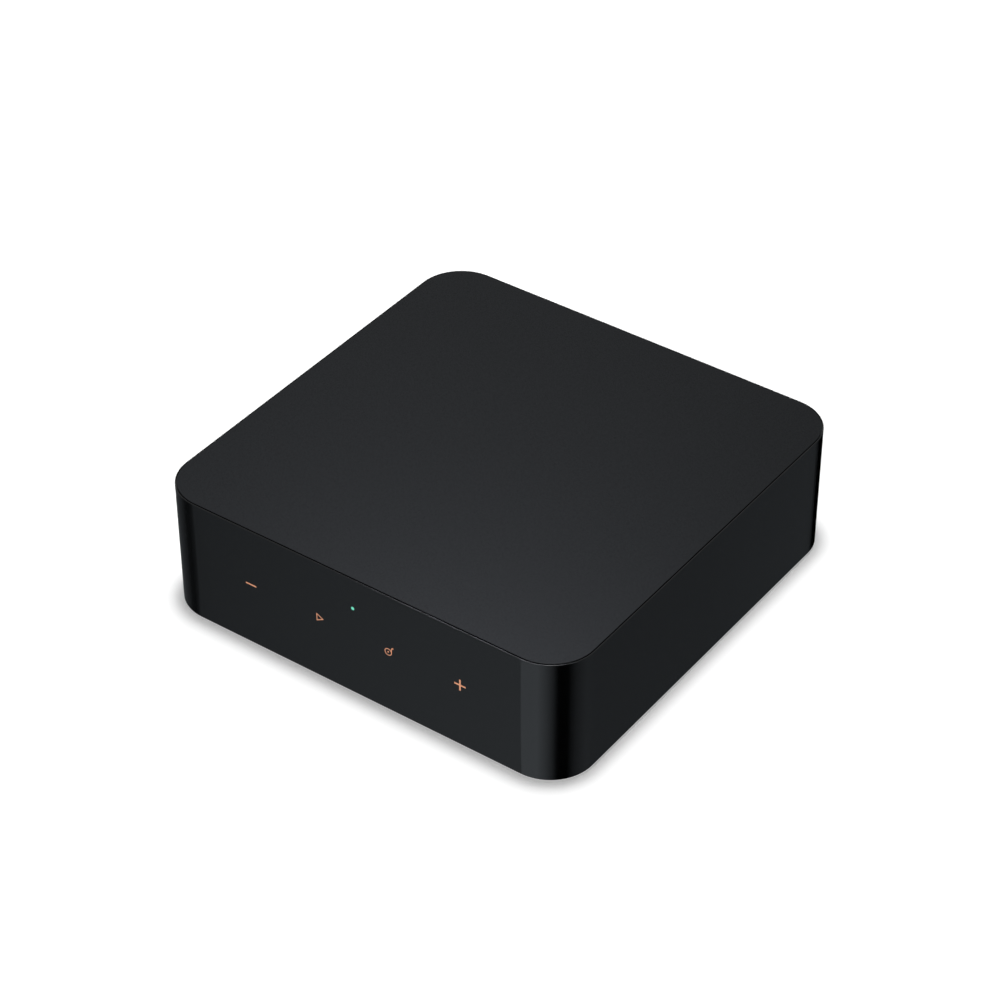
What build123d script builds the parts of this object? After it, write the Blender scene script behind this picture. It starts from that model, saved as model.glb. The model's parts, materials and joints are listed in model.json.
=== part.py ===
from build123d import *
from math import cos, radians, tan
import os

# Network music streamer: a low square housing that stands on a shelf, with touch
# controls on its front wall and a row of sockets on its rear wall.
# Millimetres. The origin is the centre of the foot ring's underside, +X is to the
# right, -Y is the front and +Z is up.

os.makedirs("parts", exist_ok=True)

# Driving dimensions of the body
body_side = 140.0
overall_height = 42.0
corner_radius = 14.0
wall = 2.2
foot_stand_off = 0.9
cover_thickness = 2.0
board_rise = 4.0
board_thickness = 1.6
seating_gap = 0.2
running_gap = 0.03
hole_gap = 0.2
overrun = 1.0

# Levels and faces that follow from them
half_side = body_side / 2
inner_half = half_side - wall
inner_corner = corner_radius - wall
cover_top = foot_stand_off + cover_thickness
board_bottom = cover_top + board_rise
board_top = board_bottom + board_thickness
socket_front = inner_half - seating_gap

# Top plate, and the seam round it
plate_proud = 0.15
lip_width = 0.2
seam_gap = 0.28
plate_rim = 0.7
plate_thickness = 1.8
plate_fit = 0.15
deck_gap = 0.1
deck_thickness = 2.0
lip_top = overall_height - plate_proud
seat_level = overall_height - plate_rim
plate_underside = overall_height - plate_thickness
deck_top = plate_underside - deck_gap
deck_bottom = deck_top - deck_thickness

# Hooks under the top plate, two on each side
hook_width = 6.0
hook_thickness = 1.2
hook_barb = 0.5
hook_barb_height = 0.9
hook_inset = 6.0
hook_spacing = 68.0
hook_gap = 0.2
hook_distance = inner_half - hook_inset

# Foot ring, and the cover screws that it hides
ring_inset = 13.8
ring_width = 9.0
ring_corner = 12.0
ring_groove = 0.7
ring_gap = 0.1
cover_gap = 0.15
ring_half = inner_half - ring_inset
screw_place = ring_half - ring_corner + ring_corner * cos(radians(45))
cover_boss_radius = 4.0
cover_boss_height = 3.5
cover_screw_radius = 1.25
cover_screw_length = 8.0
cover_head_radius = 2.3
cover_head_height = 1.5
cover_head_depth = 2.2
screw_gap = 0.05
boss_radius = 3.2
pilot_spare = 1.0

# Main board, its screws and the bosses that hold it
board_side_gap = 5.8
board_rear_gap = 1.2
board_front_gap = 21.8
board_corner = 10.0
board_front_corner = 4.0
boss_hole_gap = 0.8
board_boss_side_inset = 6.0
board_boss_front_inset = 20.0
board_boss_rear_inset = 36.6
board_screw_radius = 1.0
board_screw_length = 6.0
board_head_radius = 2.0
board_head_height = 1.2
board_half = inner_half - board_side_gap
board_rear = inner_half - board_rear_gap
board_front = board_front_gap - inner_half
board_depth = board_rear - board_front
board_middle = (board_rear + board_front) / 2
board_boss_x = board_half - board_boss_side_inset
board_boss_front = board_front + board_boss_front_inset
board_boss_rear = board_rear - board_boss_rear_inset

# Phono sockets
phono_width = 11.2
phono_depth = 11.5
phono_half_height = 6.2
phono_top_gap = 1.5
phono_nose_radius = 5.2
phono_nose_proud = 0.6
phono_reach = 8.0
phono_barrel_radius = 4.15
phono_barrel_wall = 0.55
phono_shank_step = 0.2
phono_barrel_chamfer = 0.25
phono_barrel_seat = 2.0
phono_insert_set_back = 0.5
phono_pin_radius = 1.6
phono_contact_wall = 0.3
phono_contact_depth = 10.0
phono_contact_set_back = 0.4

# Optical sockets, each with a sprung shutter behind its mouth
optical_opening = 6.4
optical_key = 1.5
optical_frame = 2.2
optical_floor = 0.9
optical_side_wall = 1.0
optical_flange = 0.5
optical_depth = 14.8
shutter_lap = 0.5
shutter_thickness = 0.8
shutter_side_gap = 0.2
shutter_drop_gap = 0.3
shutter_front_gap = 0.1
shutter_swing_gap = 0.2
shutter_lift = 0.05
knuckle_radius = 0.85
knuckle_length = 2.0
knuckle_gap = 0.15
shutter_notch_gap = 0.3
hinge_pin_radius = 0.5
hinge_pin_seat = 0.7
fibre_guide_radius = 1.65
module_side = 7.2
module_depth = 2.2
module_nose_length = 1.4
coil_radius = 0.8
coil_side_gap = 0.2
spring_leg = 0.3
spring_leg_length = 3.4
optical_cavity_width = optical_opening + 2 * (shutter_lap + shutter_side_gap)
optical_width = optical_cavity_width + 2 * optical_side_wall

# Network jack
jack_width = 16.0
jack_height = 13.5
jack_depth = 18.0
jack_sheet = 0.3
jack_fit = 0.1
jack_opening_width = 11.9
jack_opening_height = 6.9
jack_opening_floor = 3.6
jack_cavity_depth = 13.0
latch_wide = 6.2
latch_wide_height = 1.3
latch_narrow = 3.4
latch_narrow_height = 1.3
contact_pitch = 1.02
contact_count = 8
contact_width = 0.45
contact_thickness = 0.35
contact_start = 2.0
contact_flat = 3.5
contact_drop = 2.0
contact_reach = 9.0

# Power inlet, in a pocket that takes the plug's grip
inlet_width = 8.94
inlet_height = 3.26
inlet_sheet = 0.3
inlet_depth = 7.4
inlet_tongue_width = 6.7
inlet_tongue_thickness = 0.7
inlet_tongue_length = 4.5
inlet_base_depth = 1.8
inlet_fit = 0.05
inlet_pocket_width = 13.4
inlet_pocket_height = 7.4
inlet_pocket_corner = 2.0
inlet_pocket_depth = 1.2

# Trigger jack
trigger_width = 7.0
trigger_height = 6.4
trigger_depth = 12.0
trigger_nose_radius = 2.9
trigger_bore_radius = 1.8
trigger_sleeve_wall = 0.5
trigger_sleeve_length = 2.0
trigger_bore_length = 13.0

# Sockets stand in a row on the rear wall, from the left of the front view. They
# share out its flat stretch, and their ends reach a little way into its corners.
socket_set_back = 0.2
row_corner_reach = 1.2
socket_row = [
    ("line_in", phono_width),
    ("optical_in", optical_width),
    ("line_out", phono_width),
    ("optical_out", optical_width),
    ("coax_out", phono_width),
    ("trigger", trigger_width),
    ("network", jack_width),
    ("power", inlet_pocket_width),
]
row_width = 2 * (inner_half - inner_corner + row_corner_reach)
socket_gap = (row_width - sum(width for _, width in socket_row)) / (len(socket_row) - 1)
socket_x = {}
row_edge = -row_width / 2
for socket, socket_width in socket_row:
    socket_x[socket] = row_edge + socket_width / 2
    row_edge += socket_width + socket_gap

# Touch controls behind the front wall
icon_count = 4
icon_pitch = 24.0
icon_height = 22.3
light_drop = 10.4
light_radius = 0.55
light_flange_radius = 1.5
light_flange = 1.0
light_gap = 0.05
touch_standoff = 4.0
touch_thickness = 1.2
touch_end = 6.0
touch_bottom = 13.0
touch_top_gap = 0.2
pad_side = 8.0
pad_corner = 2.0
led_size = 1.6
led_depth = 0.8
led_height = 0.6
rail_width = 4.0
rail_lap = 1.5
rail_side = 1.6
rail_stop = 1.2
light_height = overall_height - light_drop
touch_half_length = icon_pitch * (icon_count - 1) / 2 + pad_side / 2 + touch_end
touch_front = -inner_half + touch_standoff
touch_middle = touch_front + touch_thickness / 2
touch_top = deck_bottom - deck_gap - hook_barb_height - touch_top_gap


def rear(y):
    """Upright plane at depth y. Its axes are the part's X and Z, and it faces the front."""
    return Plane.XZ.offset(-y)


def level(z):
    """Level plane at height z."""
    return Plane.XY.offset(z)


def save(piece, name):
    """Labels a finished piece and writes its file."""
    piece.part.label = name
    export_step(piece.part, f"parts/{name}.step")


def corner_places(place):
    """The four places at the same distance from both middle lines."""
    return [(place, place), (-place, place), (-place, -place), (place, -place)]


def on_board(shares):
    """Places on the main board, from shares of its half width and half depth."""
    return [(x * board_half, board_middle + y * board_depth / 2) for x, y in shares]


board_boss_places = [
    (board_boss_x, board_boss_front),
    (-board_boss_x, board_boss_front),
    (board_boss_x, board_boss_rear),
    (-board_boss_x, board_boss_rear),
]

# Heights of the sockets over the main board
phono_low = board_top + phono_half_height
phono_high = deck_bottom - phono_top_gap - phono_half_height
optical_cavity_floor = board_top + optical_floor
optical_mouth_bottom = optical_cavity_floor + shutter_drop_gap + shutter_lap
optical_middle = optical_mouth_bottom + optical_opening / 2
hinge_height = optical_middle + optical_opening / 2 + shutter_lift + knuckle_radius
optical_ceiling = hinge_height + knuckle_radius + knuckle_gap
optical_top = optical_ceiling + optical_floor
socket_face = half_side - socket_set_back
hinge_depth = socket_face - optical_frame - shutter_front_gap - knuckle_radius
jack_middle = board_top + jack_height / 2
inlet_middle = board_top + inlet_height / 2
trigger_middle = board_top + trigger_height / 2


# Housing: walls, a deck under the top plate, bosses, rails and the rear openings
rib_thickness = 1.2
rib_drop = 9.0
lip_round = 0.08
base_round = 0.25
phono_places = [
    (socket_x["line_in"], phono_low),
    (socket_x["line_in"], phono_high),
    (socket_x["line_out"], phono_low),
    (socket_x["line_out"], phono_high),
    (socket_x["coax_out"], phono_low),
]

with BuildPart() as housing:
    with BuildSketch(level(foot_stand_off)):
        RectangleRounded(body_side, body_side, corner_radius)
    extrude(amount=lip_top - foot_stand_off)
    fillet(housing.edges().group_by(Axis.Z)[-1], radius=lip_round)
    fillet(housing.edges().group_by(Axis.Z)[0], radius=base_round)

    with BuildSketch(level(foot_stand_off)):
        RectangleRounded(2 * inner_half, 2 * inner_half, inner_corner)
    extrude(amount=deck_bottom - foot_stand_off, mode=Mode.SUBTRACT)
    with BuildSketch(level(deck_top)):
        RectangleRounded(2 * inner_half, 2 * inner_half, inner_corner)
    extrude(amount=seat_level - deck_top, mode=Mode.SUBTRACT)
    with BuildSketch(level(seat_level)):
        RectangleRounded(
            body_side - 2 * lip_width, body_side - 2 * lip_width, corner_radius - lip_width
        )
    extrude(amount=plate_rim, mode=Mode.SUBTRACT)

    # Slots in the deck that the top plate's hooks snap through
    with BuildSketch(level(deck_bottom)):
        with PolarLocations(hook_distance, 4):
            with Locations((-hook_barb / 2, hook_spacing / 2), (-hook_barb / 2, -hook_spacing / 2)):
                Rectangle(hook_thickness + hook_barb + 2 * hook_gap, hook_width + 2 * hook_gap)
    extrude(amount=deck_thickness, mode=Mode.SUBTRACT)

    # Bosses for the bottom cover, and shorter ones that the main board hangs from
    cover_boss_end = cover_top + cover_boss_height
    with BuildSketch(level(deck_bottom)):
        with Locations(*corner_places(screw_place)):
            Circle(boss_radius)
    extrude(amount=cover_boss_end - deck_bottom)
    with BuildSketch(level(deck_bottom)):
        with Locations(*board_boss_places):
            Circle(boss_radius)
    extrude(amount=board_top - deck_bottom)

    # Ribs that tie each boss to the side wall beside it
    with BuildSketch(level(deck_bottom)):
        for x, y in corner_places(screw_place) + board_boss_places:
            side = 1 if x > 0 else -1
            with Locations((side * (abs(x) + inner_half) / 2, y)):
                Rectangle(inner_half - abs(x), rib_thickness)
    extrude(amount=-rib_drop)

    with BuildSketch(level(cover_boss_end)):
        with Locations(*corner_places(screw_place)):
            Circle(cover_screw_radius + screw_gap)
    extrude(amount=cover_screw_length, mode=Mode.SUBTRACT)
    with BuildSketch(level(board_top)):
        with Locations(*board_boss_places):
            Circle(board_screw_radius + screw_gap)
    extrude(amount=board_screw_length, mode=Mode.SUBTRACT)

    # Rails that hold the touch board's two ends
    rail_centre = touch_half_length + rail_width / 2 - rail_lap
    with BuildSketch(level(deck_bottom)):
        with Locations((rail_centre, touch_middle), (-rail_centre, touch_middle)):
            Rectangle(rail_width, touch_thickness + 2 * rail_side)
        with Locations((0, touch_middle)):
            Rectangle(
                2 * touch_half_length + 2 * hole_gap,
                touch_thickness + 2 * light_gap,
                mode=Mode.SUBTRACT,
            )
    extrude(amount=touch_bottom - deck_bottom)

    # Openings in the rear wall
    with BuildSketch(rear(half_side + overrun)):
        with Locations(*phono_places):
            Circle(phono_nose_radius + hole_gap)
        with Locations((socket_x["trigger"], trigger_middle)):
            Circle(trigger_nose_radius + hole_gap)
        with Locations((socket_x["network"], jack_middle)):
            Rectangle(jack_width + 2 * hole_gap, jack_height + 2 * hole_gap)
        for socket in ("optical_in", "optical_out"):
            with Locations((socket_x[socket], (board_top + optical_top) / 2)):
                Rectangle(
                    optical_width - 2 * optical_flange + 2 * hole_gap,
                    optical_top - board_top - 2 * optical_flange + 2 * hole_gap,
                )
        with Locations((socket_x["power"], inlet_middle)):
            SlotOverall(inlet_width + 2 * hole_gap, inlet_height + 2 * hole_gap)
    extrude(amount=wall + 2 * overrun, mode=Mode.SUBTRACT)
    with BuildSketch(rear(half_side)):
        with Locations((socket_x["power"], inlet_middle)):
            RectangleRounded(inlet_pocket_width, inlet_pocket_height, inlet_pocket_corner)
    extrude(amount=inlet_pocket_depth, mode=Mode.SUBTRACT)

    # Hole for the status light in the front wall
    with BuildSketch(rear(-half_side - overrun)):
        with Locations((0, light_height)):
            Circle(light_radius + light_gap)
    extrude(amount=-wall - 2 * overrun, mode=Mode.SUBTRACT)
save(housing, "housing")


# Top plate: a flat matte plate that drops into the housing and snaps to its deck
plate_round = 0.1
plate_side = body_side - 2 * (lip_width + seam_gap)
plate_core = 2 * (inner_half - plate_fit)
hook_top = deck_bottom - deck_gap

with BuildPart() as top_plate:
    with BuildSketch(level(seat_level)):
        RectangleRounded(plate_side, plate_side, corner_radius - lip_width - seam_gap)
    extrude(amount=plate_rim)
    fillet(top_plate.edges().group_by(Axis.Z)[-1], radius=plate_round)
    with BuildSketch(level(seat_level)):
        RectangleRounded(plate_core, plate_core, inner_corner - plate_fit)
    extrude(amount=plate_rim - plate_thickness)
    with BuildSketch(level(plate_underside)):
        with PolarLocations(hook_distance, 4):
            with Locations((0, hook_spacing / 2), (0, -hook_spacing / 2)):
                Rectangle(hook_thickness, hook_width)
    extrude(amount=hook_top - plate_underside - hook_barb_height)
    with BuildSketch(level(hook_top)):
        with PolarLocations(hook_distance, 4):
            with Locations((hook_barb / 2, hook_spacing / 2), (hook_barb / 2, -hook_spacing / 2)):
                Rectangle(hook_thickness + hook_barb, hook_width)
    extrude(amount=-hook_barb_height)
save(top_plate, "top_plate")


# Bottom cover: grooved for the foot ring, with screw bosses, vents and two board stops
rim_inset = 1.0
rim_thickness = 1.2
rim_height = 2.5
vent_length = 18.0
vent_width = 2.0
vent_pitch = 5.0
vent_rows = 9
vent_column_gap = 6.0
stop_width = 5.0
cover_side = 2 * (inner_half - cover_gap)
cover_corner = inner_corner - cover_gap

with BuildPart() as bottom_cover:
    with BuildSketch(level(foot_stand_off)):
        RectangleRounded(cover_side, cover_side, cover_corner)
    extrude(amount=cover_thickness)
    with BuildSketch(level(cover_top)):
        RectangleRounded(
            cover_side - 2 * rim_inset, cover_side - 2 * rim_inset, cover_corner - rim_inset
        )
        RectangleRounded(
            cover_side - 2 * (rim_inset + rim_thickness),
            cover_side - 2 * (rim_inset + rim_thickness),
            cover_corner - rim_inset - rim_thickness,
            mode=Mode.SUBTRACT,
        )
    extrude(amount=rim_height)
    with BuildSketch(level(cover_top)):
        with Locations(*corner_places(screw_place)):
            Circle(cover_boss_radius)
    extrude(amount=cover_boss_height)

    # Stops that hold the touch board up in its rails
    with BuildSketch(level(cover_top)):
        with Locations(
            (touch_half_length / 2, touch_middle), (-touch_half_length / 2, touch_middle)
        ):
            Rectangle(stop_width, rail_stop)
    extrude(amount=touch_bottom - cover_top)

    with BuildSketch(level(foot_stand_off)):
        RectangleRounded(
            2 * ring_half + ring_width, 2 * ring_half + ring_width, ring_corner + ring_width / 2
        )
        RectangleRounded(
            2 * ring_half - ring_width,
            2 * ring_half - ring_width,
            ring_corner - ring_width / 2,
            mode=Mode.SUBTRACT,
        )
    extrude(amount=ring_groove, mode=Mode.SUBTRACT)
    with BuildSketch(level(foot_stand_off + ring_groove)):
        with Locations(*corner_places(screw_place)):
            Circle(cover_head_radius + seating_gap)
    extrude(amount=cover_head_depth, mode=Mode.SUBTRACT)
    with BuildSketch(level(foot_stand_off)):
        with Locations(*corner_places(screw_place)):
            Circle(cover_screw_radius + seating_gap)
        vent_offset = (vent_length + vent_column_gap) / 2
        with Locations((vent_offset, 0), (-vent_offset, 0)):
            with GridLocations(0, vent_pitch, 1, vent_rows):
                SlotOverall(vent_length, vent_width)
    extrude(amount=cover_thickness + cover_boss_height, mode=Mode.SUBTRACT)
save(bottom_cover, "bottom_cover")


# Foot ring: a soft ring pressed into the cover's groove
ring_round = 0.3

with BuildPart() as foot_ring:
    ring_outer = 2 * ring_half + ring_width - 2 * ring_gap
    ring_inner = 2 * ring_half - ring_width + 2 * ring_gap
    with BuildSketch():
        RectangleRounded(ring_outer, ring_outer, ring_corner + ring_width / 2 - ring_gap)
        RectangleRounded(
            ring_inner, ring_inner, ring_corner - ring_width / 2 + ring_gap, mode=Mode.SUBTRACT
        )
    extrude(amount=foot_stand_off + ring_groove)
    fillet(foot_ring.edges().group_by(Axis.Z)[0], radius=ring_round)
save(foot_ring, "foot_ring")


def screws(name, places, head_level, head_radius, head_height, shank_radius, shank_length):
    """Pan-head screws that point up, each with a cross recess."""
    with BuildPart() as group:
        with BuildSketch(level(head_level)):
            with Locations(*places):
                Circle(head_radius)
        extrude(amount=-head_height)
        with BuildSketch(level(head_level)):
            with Locations(*places):
                Circle(shank_radius)
        extrude(amount=shank_length)
        with BuildSketch(level(head_level - head_height)):
            with Locations(*places):
                Rectangle(head_radius, head_radius * recess_width_share)
                Rectangle(head_radius * recess_width_share, head_radius)
        extrude(amount=head_height * recess_depth_share, mode=Mode.SUBTRACT)
    save(group, name)


# Screws of the bottom cover and of the main board
recess_width_share = 0.28
recess_depth_share = 0.6

screws(
    "cover_screws",
    corner_places(screw_place),
    foot_stand_off + ring_groove + cover_head_depth,
    cover_head_radius,
    cover_head_height,
    cover_screw_radius,
    cover_top + cover_boss_height + cover_screw_length
    - (foot_stand_off + ring_groove + cover_head_depth) - pilot_spare,
)
screws(
    "board_screws",
    board_boss_places,
    board_bottom,
    board_head_radius,
    board_head_height,
    board_screw_radius,
    board_thickness + board_screw_length - pilot_spare,
)


# Main board, with clear holes for the cover's bosses and for its own screws
with BuildPart() as main_board:
    with BuildSketch(level(board_bottom)) as board_outline:
        with Locations((0, board_middle)):
            Rectangle(2 * board_half, board_depth)
        fillet(board_outline.vertices().group_by(Axis.Y)[-1], radius=board_corner)
        fillet(board_outline.vertices().group_by(Axis.Y)[0], radius=board_front_corner)
        with Locations((screw_place, screw_place), (-screw_place, screw_place)):
            Circle(boss_radius + boss_hole_gap, mode=Mode.SUBTRACT)
        with Locations(*board_boss_places):
            Circle(board_screw_radius + seating_gap, mode=Mode.SUBTRACT)
    extrude(amount=board_thickness)
save(main_board, "main_board")


def chips(name, places, width, depth, height, base=board_top):
    """Flat rectangular devices that stand on a board."""
    with BuildPart() as group:
        with BuildSketch(level(base)):
            with Locations(*places):
                Rectangle(width, depth)
        extrude(amount=height)
        chamfer(group.edges().group_by(Axis.Z)[-1], length=height * chip_bevel_share)
    save(group, name)


# Devices on the main board
chip_bevel_share = 0.15
processor_side = 14.0
processor_height = 1.3
processor_place_shares = [(0.30, -0.10)]
memory_width = 8.0
memory_depth = 12.0
memory_height = 1.0
memory_place_shares = [(0.55, -0.06), (0.55, -0.36)]
converter_side = 7.0
converter_height = 0.9
converter_place_shares = [(-0.62, 0.30), (-0.16, 0.30)]
amplifier_width = 5.0
amplifier_depth = 4.0
amplifier_height = 1.5
amplifier_place_shares = [(-0.76, 0.50), (-0.44, 0.50), (-0.30, 0.50), (0.02, 0.50)]
inductor_side = 6.0
inductor_height = 3.0
inductor_place_shares = [(0.60, 0.40), (0.44, 0.40), (0.44, 0.24)]
capacitor_radius = 3.15
capacitor_height = 7.7
capacitor_base = 6.6
capacitor_base_height = 0.9
capacitor_place_shares = [
    (-0.76, 0.00), (-0.58, 0.08), (-0.40, 0.28), (-0.40, 0.10),
    (-0.02, 0.24), (0.26, 0.30), (0.62, 0.20), (0.18, 0.48),
]

chips("processor", on_board(processor_place_shares), processor_side, processor_side, processor_height)
chips("memory_chips", on_board(memory_place_shares), memory_width, memory_depth, memory_height)
chips(
    "audio_converters", on_board(converter_place_shares),
    converter_side, converter_side, converter_height,
)
chips(
    "line_amplifiers", on_board(amplifier_place_shares),
    amplifier_width, amplifier_depth, amplifier_height,
)
chips("inductors", on_board(inductor_place_shares), inductor_side, inductor_side, inductor_height)

with BuildPart() as capacitors:
    with BuildSketch(level(board_top)):
        with Locations(*on_board(capacitor_place_shares)):
            Rectangle(capacitor_base, capacitor_base)
    extrude(amount=capacitor_base_height)
    with BuildSketch(level(board_top + capacitor_base_height)):
        with Locations(*on_board(capacitor_place_shares)):
            Circle(capacitor_radius)
    extrude(amount=capacitor_height - capacitor_base_height)
save(capacitors, "capacitors")


# Wireless module: a small board with a screening can and two antenna plugs
wireless_width = 24.0
wireless_depth = 32.0
wireless_thickness = 0.8
wireless_place_share = (-0.16, -0.34)
can_width = 19.0
can_depth = 21.0
can_height = 2.4
can_sheet = 0.3
can_shift = 3.5
radio_side = 9.0
radio_height = 1.0
plug_side = 2.6
plug_height = 1.3
plug_inset = 3.0
wireless_place = on_board([wireless_place_share])[0]
wireless_top = board_top + wireless_thickness
can_place = (wireless_place[0], wireless_place[1] + can_shift)
plug_y = wireless_place[1] - wireless_depth / 2 + plug_inset
plug_x = wireless_width / 2 - plug_inset
plug_places = [(wireless_place[0] - plug_x, plug_y), (wireless_place[0] + plug_x, plug_y)]

with BuildPart() as wireless_board:
    with BuildSketch(level(board_top)):
        with Locations(wireless_place):
            Rectangle(wireless_width, wireless_depth)
    extrude(amount=wireless_thickness)
save(wireless_board, "wireless_board")

with BuildPart() as screening_can:
    with BuildSketch(level(wireless_top)):
        with Locations(can_place):
            Rectangle(can_width, can_depth)
    extrude(amount=can_height)
    fillet(screening_can.edges().filter_by(Axis.Z), radius=can_sheet)
    with BuildSketch(level(wireless_top)):
        with Locations(can_place):
            Rectangle(can_width - 2 * can_sheet, can_depth - 2 * can_sheet)
    extrude(amount=can_height - can_sheet, mode=Mode.SUBTRACT)
save(screening_can, "screening_can")

chips("radio_chip", [can_place], radio_side, radio_side, radio_height, base=wireless_top)

with BuildPart() as antenna_plugs:
    with BuildSketch(level(wireless_top)):
        with Locations(*plug_places):
            Rectangle(plug_side, plug_side)
    extrude(amount=plug_height)
save(antenna_plugs, "antenna_plugs")


# Antennas: thin films on the inside of the side walls
antenna_length = 38.0
antenna_height = 9.0
antenna_thickness = 0.3
antenna_corner = 1.0
antenna_middle = 12.0
antenna_rib_gap = 0.6
antenna_level = deck_bottom - rib_drop - antenna_rib_gap - antenna_height / 2

for antenna_name, side in (("antenna_left", -1), ("antenna_right", 1)):
    with BuildPart() as antenna:
        with BuildSketch(Plane.YZ.offset(side * inner_half)):
            with Locations((antenna_middle, antenna_level)):
                RectangleRounded(antenna_length, antenna_height, antenna_corner)
        extrude(amount=-side * antenna_thickness)
    save(antenna, antenna_name)


# Antenna leads: thin coaxial cords from the module's plugs to the antennas
lead_radius = 0.55
lead_arc_share = 0.45
lead_lay = 0.05
lead_exit = 7.0
lead_end_x = inner_half - antenna_thickness - lead_lay - lead_radius
lead_end_y = antenna_middle - antenna_length / 4


def bend_radii(points):
    """The largest arc at each corner that its two runs allow."""
    radii = []
    for before, corner, after in zip(points, points[1:], points[2:]):
        arriving = Vector(*corner) - Vector(*before)
        leaving = Vector(*after) - Vector(*corner)
        half_turn = radians(arriving.get_angle(leaving)) / 2
        radii.append(lead_arc_share * min(arriving.length, leaving.length) / tan(half_turn))
    return radii


def antenna_lead(name, plug, side, middle_points):
    """A lead that leaves its plug sideways, crosses the board and ends on its antenna."""
    start = (plug[0] + side * plug_side / 2, plug[1], wireless_top + plug_height / 2)
    outside = (start[0] + side * lead_exit, start[1], start[2])
    end = (side * lead_end_x, lead_end_y, antenna_level)
    points = [start, outside] + middle_points + [end]
    radii = bend_radii(points)
    with BuildPart() as lead:
        with BuildLine() as route:
            FilletPolyline(*points, radius=radii)
        with BuildSketch(Plane(origin=route.line @ 0, z_dir=route.line % 0)) as section:
            Circle(lead_radius)
        sweep()
    print(name, "radii", [round(radius, 1) for radius in radii])
    length = sum(run.length for run in route.edges())
    print(name, "volume", round(lead.part.volume, 2), "of", round(section.sketch.area * length, 2))
    save(lead, name)


left_route = [
    (-38.0, -30.0, 9.2), (-48.0, -37.0, 9.9), (-58.0, -38.5, 14.0),
    (-66.9, -27.0, 20.0), (-66.9, -12.0, 23.6),
]
right_route = [
    (20.0, -28.5, 9.2), (34.0, -32.0, 9.2), (47.0, -37.5, 9.9), (58.0, -38.5, 14.0),
    (66.9, -27.0, 20.0), (66.9, -12.0, 23.6),
]
antenna_lead("antenna_lead_left", plug_places[0], -1, left_route)
antenna_lead("antenna_lead_right", plug_places[1], 1, right_route)


# Touch board: four electrode pads, the status light and its guide
flange_face = -inner_half + light_flange
led_face = touch_front - led_height

with BuildPart() as touch_board:
    with BuildSketch(rear(touch_front)):
        with Locations((0, (touch_bottom + touch_top) / 2)):
            Rectangle(2 * touch_half_length, touch_top - touch_bottom)
    extrude(amount=-touch_thickness)
save(touch_board, "touch_board")

with BuildPart() as touch_pads:
    with BuildSketch(rear(touch_front)):
        with Locations((0, icon_height)):
            with GridLocations(icon_pitch, 0, icon_count, 1):
                RectangleRounded(pad_side, pad_side, pad_corner)
    extrude(amount=touch_standoff)
save(touch_pads, "touch_pads")

with BuildPart() as status_led:
    with BuildSketch(rear(touch_front)):
        with Locations((0, light_height)):
            Rectangle(led_size, led_depth)
    extrude(amount=led_height)
save(status_led, "status_led")

with BuildPart() as light_guide:
    with BuildSketch(rear(-half_side)):
        with Locations((0, light_height)):
            Circle(light_radius)
    extrude(amount=-(led_face + half_side - light_gap))
    with BuildSketch(rear(-inner_half)):
        with Locations((0, light_height)):
            Circle(light_flange_radius)
    extrude(amount=-light_flange)
save(light_guide, "light_guide")


# Ribbon cable from the touch board down to the main board, with a socket at each end
ribbon_width = 6.0
ribbon_thickness = 0.3
ribbon_x = 24.0
ribbon_slot_gap = 0.05
ribbon_socket_width = 9.0
ribbon_socket_height = 2.2
ribbon_socket_depth = 4.4
ribbon_socket_inset = 1.0
ribbon_seat = 3.0
ribbon_level = board_top + ribbon_socket_height / 2
upper_socket_level = touch_bottom + ribbon_socket_depth / 2 + ribbon_socket_inset
upper_ribbon_y = touch_front + touch_thickness + ribbon_socket_height / 2
lower_socket_y = board_front + ribbon_socket_inset + ribbon_socket_depth / 2
lower_socket_face = lower_socket_y - ribbon_socket_depth / 2
upper_socket_face = upper_socket_level - ribbon_socket_depth / 2

with BuildPart() as ribbon_sockets:
    with BuildSketch(level(board_top)):
        with Locations((ribbon_x, lower_socket_y)):
            Rectangle(ribbon_socket_width, ribbon_socket_depth)
    extrude(amount=ribbon_socket_height)
    with BuildSketch(rear(touch_front + touch_thickness)):
        with Locations((ribbon_x, upper_socket_level)):
            Rectangle(ribbon_socket_width, ribbon_socket_depth)
    extrude(amount=-ribbon_socket_height)
    slot_thickness = ribbon_thickness + 2 * ribbon_slot_gap
    slot_width = ribbon_width + 2 * ribbon_slot_gap
    with BuildSketch(rear(lower_socket_face)):
        with Locations((ribbon_x, ribbon_level)):
            Rectangle(slot_width, slot_thickness)
    extrude(amount=-ribbon_seat, mode=Mode.SUBTRACT)
    with BuildSketch(level(upper_socket_face)):
        with Locations((ribbon_x, upper_ribbon_y)):
            Rectangle(slot_width, slot_thickness)
    extrude(amount=ribbon_seat, mode=Mode.SUBTRACT)
save(ribbon_sockets, "ribbon_sockets")

ribbon_end_gap = 0.1
ribbon_straight = 1.0
ribbon_drop = upper_socket_face - ribbon_level
ribbon_span = lower_socket_face - upper_ribbon_y
ribbon_bend = min(ribbon_drop, ribbon_span) - ribbon_straight

with BuildPart() as ribbon_cable:
    with BuildLine(Plane.YZ.offset(ribbon_x)):
        FilletPolyline(
            (upper_ribbon_y, upper_socket_face + ribbon_seat - ribbon_end_gap),
            (upper_ribbon_y, ribbon_level),
            (lower_socket_face + ribbon_seat - ribbon_end_gap, ribbon_level),
            radius=ribbon_bend,
        )
    with BuildSketch(level(upper_socket_face + ribbon_seat - ribbon_end_gap)):
        with Locations((ribbon_x, upper_ribbon_y)):
            Rectangle(ribbon_width, ribbon_thickness)
    sweep()
save(ribbon_cable, "ribbon_cable")


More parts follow.
